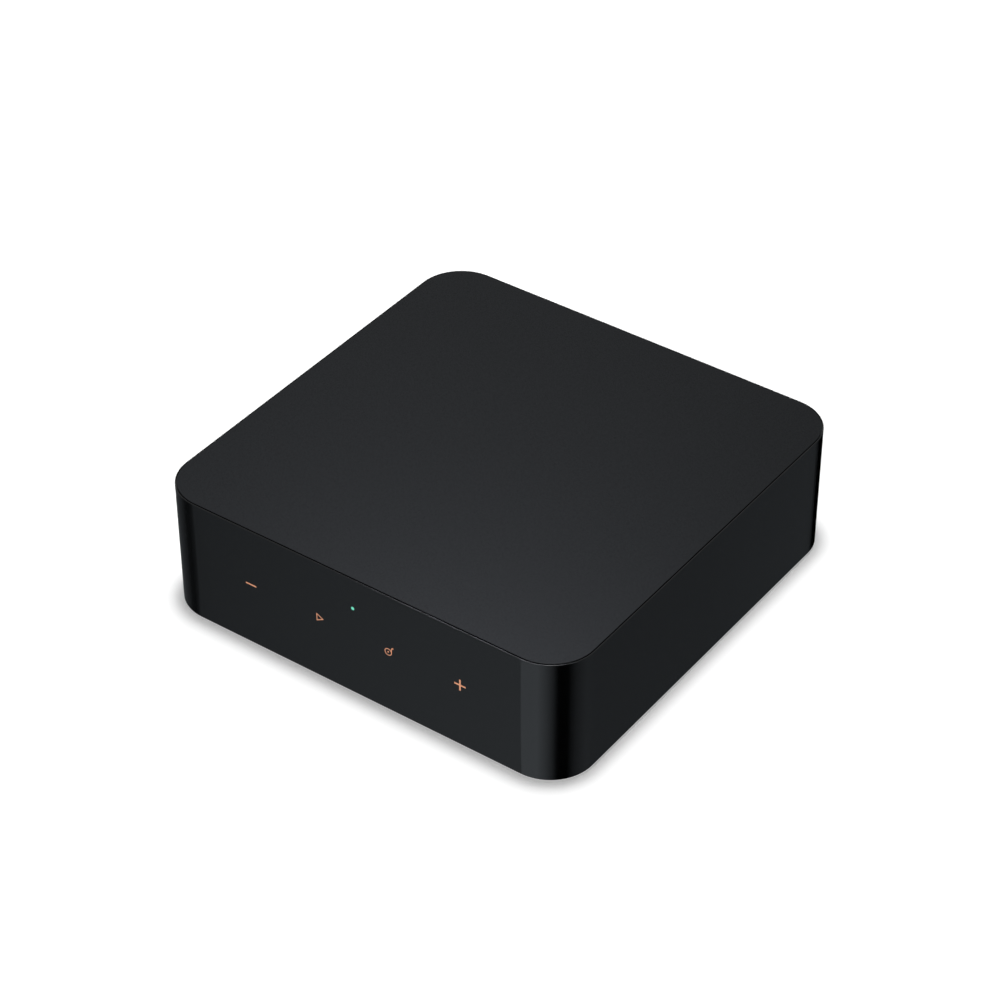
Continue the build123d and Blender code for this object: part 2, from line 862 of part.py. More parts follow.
def phono_block(name, x, heights):
    """The moulded block of one phono socket, or of two above each other."""
    block_top = heights[-1] + phono_half_height
    places = [(x, z) for z in heights]
    nose_face = half_side + phono_nose_proud
    barrel_end = socket_front - phono_depth + phono_barrel_seat
    with BuildPart() as block:
        with BuildSketch(rear(socket_front)):
            with Locations((x, (board_top + block_top) / 2)):
                Rectangle(phono_width, block_top - board_top)
        extrude(amount=phono_depth)
        chamfer(block.edges().group_by(Axis.Z)[-1], length=seating_gap)
        with BuildSketch(rear(socket_front)):
            with Locations(*places):
                Circle(phono_nose_radius)
        extrude(amount=socket_front - nose_face)
        with BuildSketch(rear(nose_face + overrun)):
            with Locations(*places):
                Circle(phono_barrel_radius - phono_shank_step + running_gap)
        extrude(amount=nose_face + overrun - barrel_end, mode=Mode.SUBTRACT)
    save(block, name)


def phono_barrels(name, x, heights):
    """The metal barrels that stand out of the rear wall, each on a thinner shank."""
    places = [(x, z) for z in heights]
    tip = half_side + phono_reach
    shoulder = half_side + phono_nose_proud
    barrel_end = socket_front - phono_depth + phono_barrel_seat
    with BuildPart() as barrels:
        with BuildSketch(rear(tip)):
            with Locations(*places):
                Circle(phono_barrel_radius)
        extrude(amount=tip - shoulder)
        chamfer(barrels.edges().group_by(Axis.Y)[-1], length=phono_barrel_chamfer)
        with BuildSketch(rear(shoulder)):
            with Locations(*places):
                Circle(phono_barrel_radius - phono_shank_step)
        extrude(amount=shoulder - barrel_end)
        with BuildSketch(rear(tip)):
            with Locations(*places):
                Circle(phono_barrel_radius - phono_barrel_wall)
        extrude(amount=tip - barrel_end, mode=Mode.SUBTRACT)
    save(barrels, name)


def phono_insert(name, x, z):
    """The coloured insulator inside one barrel, bored for its contact."""
    face = half_side + phono_reach - phono_insert_set_back
    barrel_end = socket_front - phono_depth + phono_barrel_seat
    with BuildPart() as insert:
        with BuildSketch(rear(face)):
            with Locations((x, z)):
                Circle(phono_barrel_radius - phono_barrel_wall - running_gap)
        extrude(amount=face - barrel_end)
        with BuildSketch(rear(face)):
            with Locations((x, z)):
                Circle(phono_pin_radius + phono_contact_wall + running_gap)
        extrude(amount=phono_contact_set_back + phono_contact_depth, mode=Mode.SUBTRACT)
    save(insert, name)


def phono_contacts(name, x, heights):
    """The sprung tubes that grip the plug's centre pin."""
    places = [(x, z) for z in heights]
    face = half_side + phono_reach - phono_insert_set_back - phono_contact_set_back
    with BuildPart() as contacts:
        with BuildSketch(rear(face)):
            with Locations(*places):
                Circle(phono_pin_radius + phono_contact_wall)
                Circle(phono_pin_radius, mode=Mode.SUBTRACT)
        extrude(amount=phono_contact_depth)
    save(contacts, name)


for socket, socket_heights in (
    ("line_in", [phono_low, phono_high]),
    ("line_out", [phono_low, phono_high]),
    ("coax_out", [phono_low]),
):
    phono_block(f"{socket}_block", socket_x[socket], socket_heights)
    phono_barrels(f"{socket}_barrels", socket_x[socket], socket_heights)
    phono_contacts(f"{socket}_contacts", socket_x[socket], socket_heights)
phono_insert("line_in_right_insert", socket_x["line_in"], phono_low)
phono_insert("line_in_left_insert", socket_x["line_in"], phono_high)
phono_insert("line_out_right_insert", socket_x["line_out"], phono_low)
phono_insert("line_out_left_insert", socket_x["line_out"], phono_high)
phono_insert("coax_out_insert", socket_x["coax_out"], phono_low)


def optical_body(name, x):
    """The socket's moulding: a keyed mouth, a chamber for plug and shutter, a fibre guide."""
    body_middle = (board_top + optical_top) / 2
    body_height = optical_top - board_top
    body_back = socket_face - optical_depth
    chamber_front = socket_face - optical_frame
    shutter_swing = hinge_height - optical_cavity_floor - shutter_drop_gap
    chamber_back = hinge_depth - shutter_swing - shutter_swing_gap
    with BuildPart() as body:
        with BuildSketch(rear(socket_front)):
            with Locations((x, body_middle)):
                Rectangle(optical_width, body_height)
        extrude(amount=socket_front - body_back)
        with BuildSketch(rear(socket_face)):
            with Locations((x, body_middle)):
                Rectangle(optical_width - 2 * optical_flange, body_height - 2 * optical_flange)
        extrude(amount=socket_face - socket_front)

        # Keyed mouth: a square with its two lower corners cut
        with BuildSketch(rear(socket_face)) as mouth:
            with Locations((x, optical_middle)):
                Rectangle(optical_opening, optical_opening)
            chamfer(mouth.vertices().group_by(Axis.Y)[0], length=optical_key)
        extrude(amount=optical_frame, mode=Mode.SUBTRACT)

        # Chamber for the plug, with room for the shutter's swing to its ceiling
        with BuildSketch(rear(chamber_front)):
            with Locations((x, (optical_cavity_floor + optical_ceiling) / 2)):
                Rectangle(optical_cavity_width, optical_ceiling - optical_cavity_floor)
        extrude(amount=chamber_front - chamber_back, mode=Mode.SUBTRACT)

        # Hinge pin holes, fibre guide, and the pocket for the optical module
        with BuildSketch(Plane.YZ.offset(x)):
            with Locations((hinge_depth, hinge_height)):
                Circle(hinge_pin_radius + running_gap)
        extrude(amount=optical_cavity_width / 2 + hinge_pin_seat, both=True, mode=Mode.SUBTRACT)
        with BuildSketch(rear(socket_face)):
            with Locations((x, optical_middle)):
                Circle(fibre_guide_radius)
        extrude(amount=optical_depth, mode=Mode.SUBTRACT)
        with BuildSketch(rear(body_back)):
            with Locations((x, optical_middle)):
                Rectangle(module_side + 2 * running_gap, module_side + 2 * running_gap)
        extrude(amount=-module_depth, mode=Mode.SUBTRACT)
    save(body, name)


def optical_shutter(name, x):
    """A small door with two hinge knuckles and a notch between them for its spring."""
    width = optical_opening + 2 * shutter_lap
    door_face = socket_face - optical_frame - shutter_front_gap
    door_bottom = optical_cavity_floor + shutter_drop_gap
    notch_width = width - 2 * knuckle_length
    with BuildPart() as shutter:
        with BuildSketch(rear(door_face)):
            with Locations((x, (door_bottom + hinge_height) / 2)):
                Rectangle(width, hinge_height - door_bottom)
        extrude(amount=shutter_thickness)
        with BuildSketch(Plane.YZ.offset(x)):
            with Locations((hinge_depth, hinge_height)):
                Circle(knuckle_radius)
        extrude(amount=width / 2, both=True)
        with BuildSketch(rear(door_face)):
            with Locations((x, hinge_height)):
                Rectangle(notch_width, 2 * (knuckle_radius + shutter_notch_gap))
        extrude(amount=2 * knuckle_radius, mode=Mode.SUBTRACT)
        with BuildSketch(Plane.YZ.offset(x)):
            with Locations((hinge_depth, hinge_height)):
                Circle(hinge_pin_radius + running_gap)
        extrude(amount=width / 2, both=True, mode=Mode.SUBTRACT)
    save(shutter, name)


def optical_hinge_pin(name, x):
    """The steel pin that the shutter turns on."""
    with BuildPart() as pin:
        with BuildSketch(Plane.YZ.offset(x)):
            with Locations((hinge_depth, hinge_height)):
                Circle(hinge_pin_radius)
        extrude(amount=optical_cavity_width / 2 + hinge_pin_seat, both=True)
    save(pin, name)


def optical_spring(name, x):
    """The torsion spring: its turns round the pin, one leg on the ceiling, one on the shutter."""
    half_coil = (optical_opening + 2 * shutter_lap) / 2 - knuckle_length - coil_side_gap
    leg_face = socket_face - optical_frame - shutter_front_gap - shutter_thickness
    with BuildPart() as spring:
        with BuildSketch(Plane.YZ.offset(x)):
            with Locations((hinge_depth, hinge_height)):
                Circle(coil_radius)
        extrude(amount=half_coil, both=True)
        with BuildSketch(rear(leg_face)):
            with Locations((x + half_coil - spring_leg / 2, hinge_height - spring_leg_length / 2)):
                Rectangle(spring_leg, spring_leg_length)
        extrude(amount=spring_leg)
        with BuildSketch(rear(hinge_depth)):
            with Locations((x - half_coil + spring_leg / 2, hinge_height + coil_radius - spring_leg / 2)):
                Rectangle(spring_leg, spring_leg)
        extrude(amount=spring_leg_length)
        with BuildSketch(Plane.YZ.offset(x)):
            with Locations((hinge_depth, hinge_height)):
                Circle(hinge_pin_radius + running_gap)
        extrude(amount=half_coil, both=True, mode=Mode.SUBTRACT)
    save(spring, name)


def optical_module(name, x):
    """The light source or receiver behind the fibre guide, with its lens."""
    back = socket_face - optical_depth
    with BuildPart() as module:
        with BuildSketch(rear(back)):
            with Locations((x, optical_middle)):
                Rectangle(module_side, module_side)
        extrude(amount=-module_depth)
        with BuildSketch(rear(back + module_depth)):
            with Locations((x, optical_middle)):
                Circle(fibre_guide_radius - seating_gap)
        extrude(amount=-module_nose_length)
    save(module, name)


for socket in ("optical_in", "optical_out"):
    optical_body(f"{socket}_body", socket_x[socket])
    optical_shutter(f"{socket}_shutter", socket_x[socket])
    optical_hinge_pin(f"{socket}_hinge_pin", socket_x[socket])
    optical_spring(f"{socket}_spring", socket_x[socket])
    optical_module(f"{socket}_module", socket_x[socket])


# Network jack: a folded metal shell, a moulded insert and eight contacts
jack_x = socket_x["network"]
jack_floor = board_top + jack_opening_floor
jack_roof = jack_floor + jack_opening_height
insert_front = socket_face - jack_sheet - jack_fit


def jack_opening():
    """The opening's outline: the plug's square with a stepped slot for its latch below."""
    with Locations((jack_x, jack_floor + jack_opening_height / 2)):
        Rectangle(jack_opening_width, jack_opening_height)
    with Locations((jack_x, jack_floor - latch_wide_height / 2)):
        Rectangle(latch_wide, latch_wide_height)
    with Locations((jack_x, jack_floor - latch_wide_height - latch_narrow_height / 2)):
        Rectangle(latch_narrow, latch_narrow_height)


with BuildPart() as network_jack_shell:
    with BuildSketch(rear(socket_face)):
        with Locations((jack_x, jack_middle)):
            Rectangle(jack_width, jack_height)
    extrude(amount=jack_depth)
    with BuildSketch(rear(socket_face - jack_sheet)):
        with Locations((jack_x, jack_middle)):
            Rectangle(jack_width - 2 * jack_sheet, jack_height - 2 * jack_sheet)
    extrude(amount=jack_depth, mode=Mode.SUBTRACT)
    with BuildSketch(rear(socket_face)):
        jack_opening()
    extrude(amount=jack_sheet, mode=Mode.SUBTRACT)
save(network_jack_shell, "network_jack_shell")

with BuildPart() as network_jack_insert:
    with BuildSketch(rear(insert_front)):
        with Locations((jack_x, jack_middle)):
            Rectangle(
                jack_width - 2 * (jack_sheet + jack_fit), jack_height - 2 * (jack_sheet + jack_fit)
            )
    extrude(amount=jack_depth - jack_sheet - jack_fit)
    with BuildSketch(rear(insert_front)):
        jack_opening()
    extrude(amount=jack_cavity_depth, mode=Mode.SUBTRACT)
save(network_jack_insert, "network_jack_insert")

contact_front = insert_front - contact_start
contact_flat_end = contact_front - contact_flat
contact_end = contact_front - contact_reach

with BuildPart() as network_jack_contacts:
    with BuildSketch(Plane.YZ.offset(jack_x)) as contact_profile:
        with BuildLine():
            Polyline(
                (contact_front, jack_roof),
                (contact_flat_end, jack_roof),
                (contact_end, jack_roof - contact_drop + contact_thickness),
                (contact_end, jack_roof - contact_drop),
                (contact_flat_end, jack_roof - contact_thickness),
                (contact_front, jack_roof - contact_thickness),
                close=True,
            )
        make_face()
    for place in range(contact_count):
        shift = (place - (contact_count - 1) / 2) * contact_pitch
        extrude(
            contact_profile.sketch.moved(Location((shift, 0, 0))), amount=contact_width / 2, both=True
        )
save(network_jack_contacts, "network_jack_contacts")


# Power inlet: a drawn metal shell with a moulded tongue
inlet_x = socket_x["power"]
inlet_face = half_side - inlet_pocket_depth

with BuildPart() as power_inlet_shell:
    with BuildSketch(rear(inlet_face)):
        with Locations((inlet_x, inlet_middle)):
            SlotOverall(inlet_width, inlet_height)
            SlotOverall(
                inlet_width - 2 * inlet_sheet, inlet_height - 2 * inlet_sheet, mode=Mode.SUBTRACT
            )
    extrude(amount=inlet_depth)
save(power_inlet_shell, "power_inlet_shell")

with BuildPart() as power_inlet_tongue:
    with BuildSketch(rear(inlet_face - inlet_depth)):
        with Locations((inlet_x, inlet_middle)):
            SlotOverall(
                inlet_width - 2 * (inlet_sheet + inlet_fit), inlet_height - 2 * (inlet_sheet + inlet_fit)
            )
    extrude(amount=-inlet_base_depth)
    with BuildSketch(rear(inlet_face - inlet_depth + inlet_base_depth)):
        with Locations((inlet_x, inlet_middle)):
            Rectangle(inlet_tongue_width, inlet_tongue_thickness)
    extrude(amount=-inlet_tongue_length)
save(power_inlet_tongue, "power_inlet_tongue")


# Trigger jack: a moulded body with a metal sleeve at its mouth
trigger_x = socket_x["trigger"]

with BuildPart() as trigger_jack_body:
    with BuildSketch(rear(socket_front)):
        with Locations((trigger_x, trigger_middle)):
            Rectangle(trigger_width, trigger_height)
    extrude(amount=trigger_depth)
    with BuildSketch(rear(socket_face)):
        with Locations((trigger_x, trigger_middle)):
            Circle(trigger_nose_radius)
    extrude(amount=socket_face - socket_front)
    with BuildSketch(rear(socket_face)):
        with Locations((trigger_x, trigger_middle)):
            Circle(trigger_bore_radius)
    extrude(amount=trigger_bore_length, mode=Mode.SUBTRACT)
    with BuildSketch(rear(socket_face)):
        with Locations((trigger_x, trigger_middle)):
            Circle(trigger_bore_radius + trigger_sleeve_wall + running_gap)
    extrude(amount=trigger_sleeve_length, mode=Mode.SUBTRACT)
save(trigger_jack_body, "trigger_jack_body")

with BuildPart() as trigger_jack_sleeve:
    with BuildSketch(rear(socket_face)):
        with Locations((trigger_x, trigger_middle)):
            Circle(trigger_bore_radius + trigger_sleeve_wall)
            Circle(trigger_bore_radius, mode=Mode.SUBTRACT)
    extrude(amount=trigger_sleeve_length)
save(trigger_jack_sleeve, "trigger_jack_sleeve")
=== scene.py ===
import json
from math import atan2, cos, pi, radians, sin

import bmesh
import bpy
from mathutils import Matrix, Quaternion, Vector


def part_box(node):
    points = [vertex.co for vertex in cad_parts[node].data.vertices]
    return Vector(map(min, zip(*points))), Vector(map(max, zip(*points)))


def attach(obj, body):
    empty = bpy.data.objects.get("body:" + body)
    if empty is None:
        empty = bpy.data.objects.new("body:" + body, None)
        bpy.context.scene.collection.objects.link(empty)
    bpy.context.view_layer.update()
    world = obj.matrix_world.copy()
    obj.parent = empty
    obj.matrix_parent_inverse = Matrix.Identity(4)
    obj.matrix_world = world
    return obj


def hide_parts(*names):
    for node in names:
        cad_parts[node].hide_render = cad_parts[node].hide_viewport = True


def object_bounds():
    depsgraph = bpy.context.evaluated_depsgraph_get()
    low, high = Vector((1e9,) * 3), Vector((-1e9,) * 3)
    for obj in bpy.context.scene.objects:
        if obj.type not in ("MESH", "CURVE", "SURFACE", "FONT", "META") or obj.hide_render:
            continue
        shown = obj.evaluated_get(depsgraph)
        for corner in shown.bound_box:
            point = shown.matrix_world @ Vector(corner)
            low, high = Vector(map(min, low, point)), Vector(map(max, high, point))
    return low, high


# Network music streamer, dressed for a studio picture. Metres, in the frame of the
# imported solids: +X is to the right, -Y is the front and +Z is up.

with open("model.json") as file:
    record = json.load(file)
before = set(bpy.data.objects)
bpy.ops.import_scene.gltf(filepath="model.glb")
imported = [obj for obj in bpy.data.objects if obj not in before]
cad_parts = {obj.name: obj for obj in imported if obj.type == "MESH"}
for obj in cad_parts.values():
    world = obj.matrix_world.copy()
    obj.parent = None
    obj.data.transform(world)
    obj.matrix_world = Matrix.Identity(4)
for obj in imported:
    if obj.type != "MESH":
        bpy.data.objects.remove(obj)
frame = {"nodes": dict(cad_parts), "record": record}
cad_low, cad_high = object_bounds()
mm = 0.001
body = "streamer"


# Camera: a long lens from the front right, well above the object
view_azimuth = radians(35.782)
view_elevation = radians(38.122)
view_roll = radians(-0.055)
view_distance = 0.8902
view_target = Vector((-0.00335, 0.00318, 0.0209))
view_lens = 110.69


def place_camera():
    back = Vector((
        sin(view_azimuth) * cos(view_elevation),
        -cos(view_azimuth) * cos(view_elevation),
        sin(view_elevation),
    ))
    data = bpy.data.cameras.new("camera")
    data.sensor_width = 36.0
    data.lens = view_lens
    data.clip_start = 0.05
    data.clip_end = 50.0
    camera = bpy.data.objects.new("camera", data)
    bpy.context.scene.collection.objects.link(camera)
    camera.rotation_mode = "QUATERNION"
    camera.location = view_target + back * view_distance
    turn = (-back).to_track_quat("-Z", "Y")
    camera.rotation_quaternion = turn @ Quaternion((0, 0, 1), view_roll)
    bpy.context.scene.camera = camera
    return camera


camera = place_camera()
bpy.context.scene.view_settings.view_transform = "Standard"


# Materials: each has its own fine grain, mottling and varying gloss
noise_range = (0.3, 0.7)
broad_share = 12


def material_nodes(name):
    """A new material with its shader, node tree and object coordinates."""
    material = bpy.data.materials.new(name)
    material.use_nodes = True
    nodes = material.node_tree.nodes
    place = nodes.new("ShaderNodeTexCoord")
    return material, nodes["Principled BSDF"], nodes, material.node_tree.links, place.outputs["Object"]


def noise(nodes, links, place, scale, detail=3.0):
    """A noise over the object, with features of about 1 / scale metres."""
    node = nodes.new("ShaderNodeTexNoise")
    node.inputs["Scale"].default_value = scale
    node.inputs["Detail"].default_value = detail
    links.new(place, node.inputs["Vector"])
    return node.outputs["Fac"]


def ranged(nodes, links, value, start, end, low, high):
    """Maps a value from one range to another."""
    node = nodes.new("ShaderNodeMapRange")
    node.inputs["From Min"].default_value = start
    node.inputs["From Max"].default_value = end
    node.inputs["To Min"].default_value = low
    node.inputs["To Max"].default_value = high
    links.new(value, node.inputs["Value"])
    return node.outputs["Result"]


def combined(nodes, links, operation, first, second):
    """Two values, put together by a sum, a maximum or the like."""
    node = nodes.new("ShaderNodeMath")
    node.operation = operation
    links.new(first, node.inputs[0])
    links.new(second, node.inputs[1])
    return node.outputs[0]


def changed(nodes, links, operation, vector, other=None):
    """A vector after an operation, with a constant vector where it takes two."""
    node = nodes.new("ShaderNodeVectorMath")
    node.operation = operation
    if other is not None:
        node.inputs[1].default_value = other
    links.new(vector, node.inputs[0])
    return node.outputs[0]


def length(nodes, links, vector):
    node = nodes.new("ShaderNodeVectorMath")
    node.operation = "LENGTH"
    links.new(vector, node.inputs[0])
    return node.outputs["Value"]


def seen_in_picture(nodes, links):
    """1 for what the camera sees straight, in a mirror or through glass, and 0 for other light."""
    path = nodes.new("ShaderNodeLightPath").outputs
    seen = combined(nodes, links, "MAXIMUM", path["Is Camera Ray"], path["Is Glossy Ray"])
    return combined(nodes, links, "MAXIMUM", seen, path["Is Transmission Ray"])


def blend(nodes, links, factor, dark, light):
    """Mixes two colours by a factor."""
    node = nodes.new("ShaderNodeMix")
    node.data_type = "RGBA"
    node.inputs["A"].default_value = (*dark, 1)
    node.inputs["B"].default_value = (*light, 1)
    links.new(factor, node.inputs["Factor"])
    return node.outputs["Result"]


def surface(name, colour, roughness, specular=0.5, metallic=0.0, mottle=0.08,
            grain=2500, bump=0.1, depth=0.00002, rough_spread=0.15, coat=0.0):
    """Plastic or metal, with mottled colour, a fine grain and uneven gloss."""
    material, shader, nodes, links, place = material_nodes(name)
    broad = noise(nodes, links, place, grain / broad_share)
    fine = noise(nodes, links, place, grain)
    dark = [c * (1 - mottle) for c in colour]
    light = [c * (1 + mottle) for c in colour]
    links.new(blend(nodes, links, broad, dark, light), shader.inputs["Base Color"])
    low = roughness * (1 - rough_spread)
    high = roughness * (1 + rough_spread)
    links.new(ranged(nodes, links, fine, *noise_range, low, high), shader.inputs["Roughness"])
    relief = nodes.new("ShaderNodeBump")
    relief.inputs["Strength"].default_value = bump
    relief.inputs["Distance"].default_value = depth
    links.new(fine, relief.inputs["Height"])
    links.new(relief.outputs["Normal"], shader.inputs["Normal"])
    shader.inputs["Metallic"].default_value = metallic
    shader.inputs["Specular IOR Level"].default_value = specular
    shader.inputs["Coat Weight"].default_value = coat
    return material


def glow(material, colour, strength):
    """Makes a material give off light."""
    shader = material.node_tree.nodes["Principled BSDF"]
    shader.inputs["Emission Color"].default_value = (*colour, 1)
    shader.inputs["Emission Strength"].default_value = strength
    return material


slot_materials = {
    "gloss_black": surface("gloss_black", (0.0012, 0.0013, 0.0015), 0.08, 0.25, grain=900, bump=0.02),
    "matte_black": surface("matte_black", (0.0052, 0.0058, 0.0063), 0.28, 0.03, grain=4200, bump=0.1),
    "cover_black": surface("cover_black", (0.014, 0.014, 0.015), 0.6, 0.3, grain=2600, bump=0.4),
    "foot_rubber": surface("foot_rubber", (0.012, 0.012, 0.012), 0.8, 0.2, grain=3400, bump=0.3),
    "screw_steel": surface("screw_steel", (0.42, 0.42, 0.43), 0.32, metallic=1.0, grain=3000),
    "board_mask": surface("board_mask", (0.008, 0.045, 0.022), 0.4, grain=1500, mottle=0.2),
    "chip_black": surface("chip_black", (0.017, 0.017, 0.018), 0.55, grain=5200, bump=0.3),
    "capacitor_can": surface("capacitor_can", (0.72, 0.72, 0.74), 0.3, metallic=1.0, grain=2200),
    "inductor_grey": surface("inductor_grey", (0.1, 0.1, 0.105), 0.6, grain=2600, bump=0.3),
    "can_tin": surface("can_tin", (0.6, 0.6, 0.58), 0.35, metallic=1.0, grain=1300),
    "plug_gold": surface("plug_gold", (0.8, 0.6, 0.26), 0.25, metallic=1.0),
    "antenna_film": surface("antenna_film", (0.4, 0.2, 0.08), 0.4, grain=1200, mottle=0.2),
    "lead_black": surface("lead_black", (0.02, 0.02, 0.021), 0.45),
    "pad_grey": surface("pad_grey", (0.18, 0.18, 0.19), 0.8, grain=2400, bump=0.5),
    "led_white": surface("led_white", (0.8, 0.8, 0.76), 0.25),
    "light_clear": surface("light_clear", (0.05, 0.25, 0.18), 0.2),
    "ribbon_white": surface("ribbon_white", (0.78, 0.79, 0.81), 0.4, grain=900),
    "socket_black": surface("socket_black", (0.012, 0.012, 0.013), 0.42, 0.4, grain=2800, bump=0.2),
    "socket_white": surface("socket_white", (0.78, 0.78, 0.76), 0.35, grain=2200),
    "socket_red": surface("socket_red", (0.56, 0.022, 0.022), 0.35, grain=2200),
    "socket_orange": surface("socket_orange", (0.8, 0.25, 0.02), 0.35, grain=2200),
    "nickel": surface("nickel", (0.66, 0.63, 0.58), 0.24, metallic=1.0, grain=3600, bump=0.05),
    "contact_gold": surface("contact_gold", (0.85, 0.62, 0.25), 0.22, metallic=1.0),
    "shutter_grey": surface("shutter_grey", (0.03, 0.03, 0.033), 0.5, 0.4, grain=2600),
    "pin_steel": surface("pin_steel", (0.55, 0.55, 0.56), 0.25, metallic=1.0),
    "lens_red": surface("lens_red", (0.2, 0.015, 0.015), 0.12, grain=1800),
}


guide_rim = (0.13, 0.2)
rim_share = 0.25


def glow_on_axis(material, colour, strength):
    """Makes the light guide glow most on its axis, and less towards its rim."""
    nodes, links = material.node_tree.nodes, material.node_tree.links
    shader = nodes["Principled BSDF"]
    place = nodes.new("ShaderNodeTexCoord")
    off = changed(nodes, links, "SUBTRACT", place.outputs["Generated"], (0.5, 0, 0.5))
    radius = length(nodes, links, changed(nodes, links, "MULTIPLY", off, (1, 0, 1)))
    fall = ranged(nodes, links, radius, *guide_rim, strength, strength * rim_share)
    shader.inputs["Emission Color"].default_value = (*colour, 1)
    links.new(fall, shader.inputs["Emission Strength"])


glow_on_axis(slot_materials["light_clear"], (0.12, 0.55, 0.38), 1.15)
slot_of = {row["node"]: row["material_slot"] for row in frame["record"]["subparts"]}
for node, thing in frame["nodes"].items():
    thing.data.materials.clear()
    thing.data.materials.append(slot_materials[slot_of[node]])


# Pieces

def add_piece(name, mesh, material, rides_on=body):
    """Shows a mesh as a piece that rides on a body."""
    piece = bpy.data.objects.new(name, mesh)
    bpy.context.scene.collection.objects.link(piece)
    mesh.materials.append(material)
    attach(piece, rides_on)
    return piece


def ribbon(points, width, closed=False):
    """The two edges of a stroke of one width along a line of flat points."""
    left, right = [], []
    count = len(points)
    for i, point in enumerate(points):
        before = points[i - 1] if closed or i > 0 else point
        after = points[(i + 1) % count] if closed or i < count - 1 else point
        arriving = (Vector(point) - Vector(before)).normalized()
        leaving = (Vector(after) - Vector(point)).normalized()
        if arriving.length == 0:
            arriving = leaving
        if leaving.length == 0:
            leaving = arriving
        along = (arriving + leaving).normalized()
        across = Vector((-along.y, along.x))
        reach = width / 2 / max(across.dot(Vector((-arriving.y, arriving.x))), 0.3)
        left.append(Vector(point) + across * reach)
        right.append(Vector(point) - across * reach)
    return left, right


print_depth = 0.02 * mm


def front_mark(name, strokes, centre, material):
    """A printed mark on the front wall, from strokes of (points, width, closed) in millimetres."""
    wall = cad_low.y
    build = bmesh.new()
    for points, width, closed in strokes:
        left, right = ribbon(points, width, closed)
        count = len(points)
        rows = []
        for flat in (left, right):
            for y in (wall - print_depth, wall + print_depth):
                rows.append([
                    build.verts.new((centre[0] + p.x * mm, y, centre[1] + p.y * mm)) for p in flat
                ])
        front_left, back_left, front_right, back_right = rows
        last = count if closed else count - 1
        for i in range(last):
            j = (i + 1) % count
            build.faces.new((front_left[i], front_left[j], front_right[j], front_right[i]))
            build.faces.new((back_left[j], back_left[i], back_right[i], back_right[j]))
            build.faces.new((front_left[j], front_left[i], back_left[i], back_left[j]))
            build.faces.new((front_right[i], front_right[j], back_right[j], back_right[i]))
        if not closed:
            for i in (0, count - 1):
                build.faces.new((front_left[i], front_right[i], back_right[i], back_left[i]))
    bmesh.ops.recalc_face_normals(build, faces=build.faces)
    mesh = bpy.data.meshes.new(name)
    build.to_mesh(mesh)
    build.free()
    return add_piece(name, mesh, material)


def tube(build, points, radius, sides=10):
    """A round wire along a line of points, closed at both ends."""
    count = len(points)
    rings = []
    side = None
    for i, point in enumerate(points):
        before, after = points[max(i - 1, 0)], points[min(i + 1, count - 1)]
        along = (after - before).normalized()
        if side is None:
            side = along.orthogonal().normalized()
        side = (side - along * side.dot(along)).normalized()
        other = along.cross(side)
        rings.append([
            build.verts.new(point + (side * cos(t) + other * sin(t)) * radius)
            for t in (2 * pi * k / sides for k in range(sides))
        ])
    for ring, following in zip(rings, rings[1:]):
        for k in range(sides):
            j = (k + 1) % sides
            build.faces.new((ring[k], ring[j], following[j], following[k]))
    build.faces.new(rings[0][::-1])
    build.faces.new(rings[-1])


def wire_spring(socket):
    """A torsion spring: wire turns round the hinge pin, one leg on the ceiling, one on the shutter."""
    node = f"{socket}_spring"
    low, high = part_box(node)
    wire = 0.14 * mm
    turns = 8
    steps = 24
    outer = 0.8 * mm
    last_steps = 9
    leg_setback = 0.1 * mm
    leg_bend = 1.05 * mm
    radius = outer - wire
    axis_y, axis_z = high.y - outer, high.z - outer
    start, end = low.x + wire, high.x - wire
    points = [Vector((start, low.y + wire, axis_z + radius))]
    for i in range(turns * steps + 1):
        turn = pi / 2 - 2 * pi * i / steps
        x = start + (end - start) * i / (turns * steps)
        points.append(Vector((x, axis_y + radius * cos(turn), axis_z + radius * sin(turn))))
    for i in range(1, last_steps + 1):
        turn = pi / 2 - 2 * pi * i / steps
        points.append(Vector((end, axis_y + radius * cos(turn), axis_z + radius * sin(turn))))
    leg_y = axis_y - leg_setback
    points.append(Vector((end, leg_y, axis_z - leg_bend)))
    points.append(Vector((end, leg_y, low.z + wire)))
    build = bmesh.new()
    tube(build, points, wire)
    bmesh.ops.recalc_face_normals(build, faces=build.faces)
    mesh = bpy.data.meshes.new(f"{socket}_wire_spring")
    build.to_mesh(mesh)
    build.free()
    for face in mesh.polygons:
        face.use_smooth = True
    piece = add_piece(f"{socket}_wire_spring", mesh, slot_materials["pin_steel"])
    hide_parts(node)


for socket in ("optical_in", "optical_out"):
    wire_spring(socket)


# Touch marks, in millimetres from the centre of each
# The copper marks are print, and they also give off a painted glow, so that they show brighter than
# the lamps light the front wall.
copper_print_painted_glow = glow(
    surface("copper_print_painted_glow", (0.43, 0.2, 0.115), 0.35, 0.2, grain=6000), (0.84, 0.37, 0.21), 0.53
)
mark_height = 22.3 * mm
mark_pitch = 24.0 * mm
bar_half = 1.9
bar_width = 0.52
minus_half = 1.85
minus_width = 0.46
play_width = 0.26
note_width = 0.25
stem_width = 0.3
dot_radius = 0.13
dot_width = 0.24
tip_width = 0.46
ring_radius = 1.1
ring_drop = -0.4


def arc(radius, start, end, steps, centre=(0, 0)):
    """Points on an arc, angles in degrees."""
    turns = [radians(start + (end - start) * i / steps) for i in range(steps + 1)]
    return [(centre[0] + radius * cos(t), centre[1] + radius * sin(t)) for t in turns]


